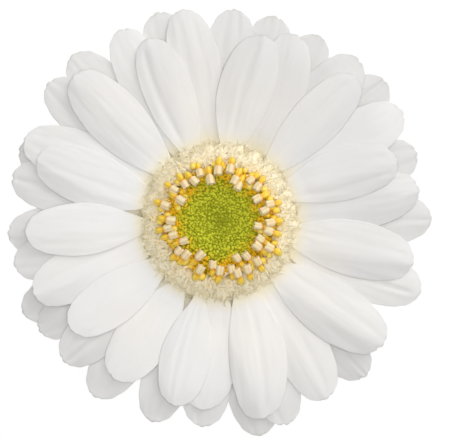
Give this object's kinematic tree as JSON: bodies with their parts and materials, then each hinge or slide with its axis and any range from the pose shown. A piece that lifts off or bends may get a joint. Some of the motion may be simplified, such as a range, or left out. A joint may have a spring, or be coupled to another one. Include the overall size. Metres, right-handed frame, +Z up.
{
  "type": "gerbera daisy flower head",
  "caption": "White gerbera daisy head, face up on a short cut stub of its stalk: overlapping rows of broad ray petals, an ivory fringe, open disc florets and a green dome of buds.",
  "frame": {"origin": "middle of the cut face of the stalk, on the surface that the head stands on", "axes": "+Z up along the stalk, out of the face of the flower; seen from above, +X is to the right and +Y to the top"},
  "size_m": [0.0989, 0.0996, 0.0236],
  "materials": {
    "ray_petal": "matte",
    "pappus": "matte",
    "disc_floret": "satin",
    "disc_bud": "satin",
    "bract": "matte",
    "receptacle": "matte",
    "scape": "matte"
  },
  "bodies": {
    "root": {"scape": "scape", "receptacle": "receptacle", "inner_bracts": "bract", "middle_bracts": "bract", "outer_bracts": "bract", "ray_floret_01": "ray_petal", "ray_floret_02": "ray_petal", "ray_floret_03": "ray_petal", "ray_floret_04": "ray_petal", "ray_floret_05": "ray_petal", "ray_floret_06": "ray_petal", "ray_floret_07": "ray_petal", "ray_floret_08": "ray_petal", "ray_floret_09": "ray_petal", "ray_floret_10": "ray_petal", "ray_floret_11": "ray_petal", "ray_floret_12": "ray_petal", "ray_floret_13": "ray_petal", "ray_floret_14": "ray_petal", "ray_floret_15": "ray_petal", "ray_floret_16": "ray_petal", "ray_floret_17": "ray_petal", "ray_floret_18": "ray_petal", "ray_floret_19": "ray_petal", "ray_floret_20": "ray_petal", "ray_floret_21": "ray_petal", "ray_floret_22": "ray_petal", "ray_floret_23": "ray_petal", "ray_floret_24": "ray_petal", "ray_floret_25": "ray_petal", "ray_floret_26": "ray_petal", "ray_floret_27": "ray_petal", "ray_floret_28": "ray_petal", "ray_floret_29": "ray_petal", "ray_floret_30": "ray_petal", "ray_floret_31": "ray_petal", "ray_floret_32": "ray_petal", "ray_floret_33": "ray_petal", "ray_floret_34": "ray_petal", "ray_floret_35": "ray_petal", "ray_floret_36": "ray_petal", "ray_floret_37": "ray_petal", "ray_floret_38": "ray_petal", "ray_floret_39": "ray_petal", "ray_floret_40": "ray_petal", "ray_floret_41": "ray_petal", "ray_floret_42": "ray_petal", "ray_floret_43": "ray_petal", "ray_floret_44": "ray_petal", "ray_floret_45": "ray_petal", "ray_floret_46": "ray_petal", "pappus": "pappus", "inner_disc_florets": "disc_floret", "outer_disc_florets": "disc_floret", "disc_buds": "disc_bud"}
  },
  "joints": []
}
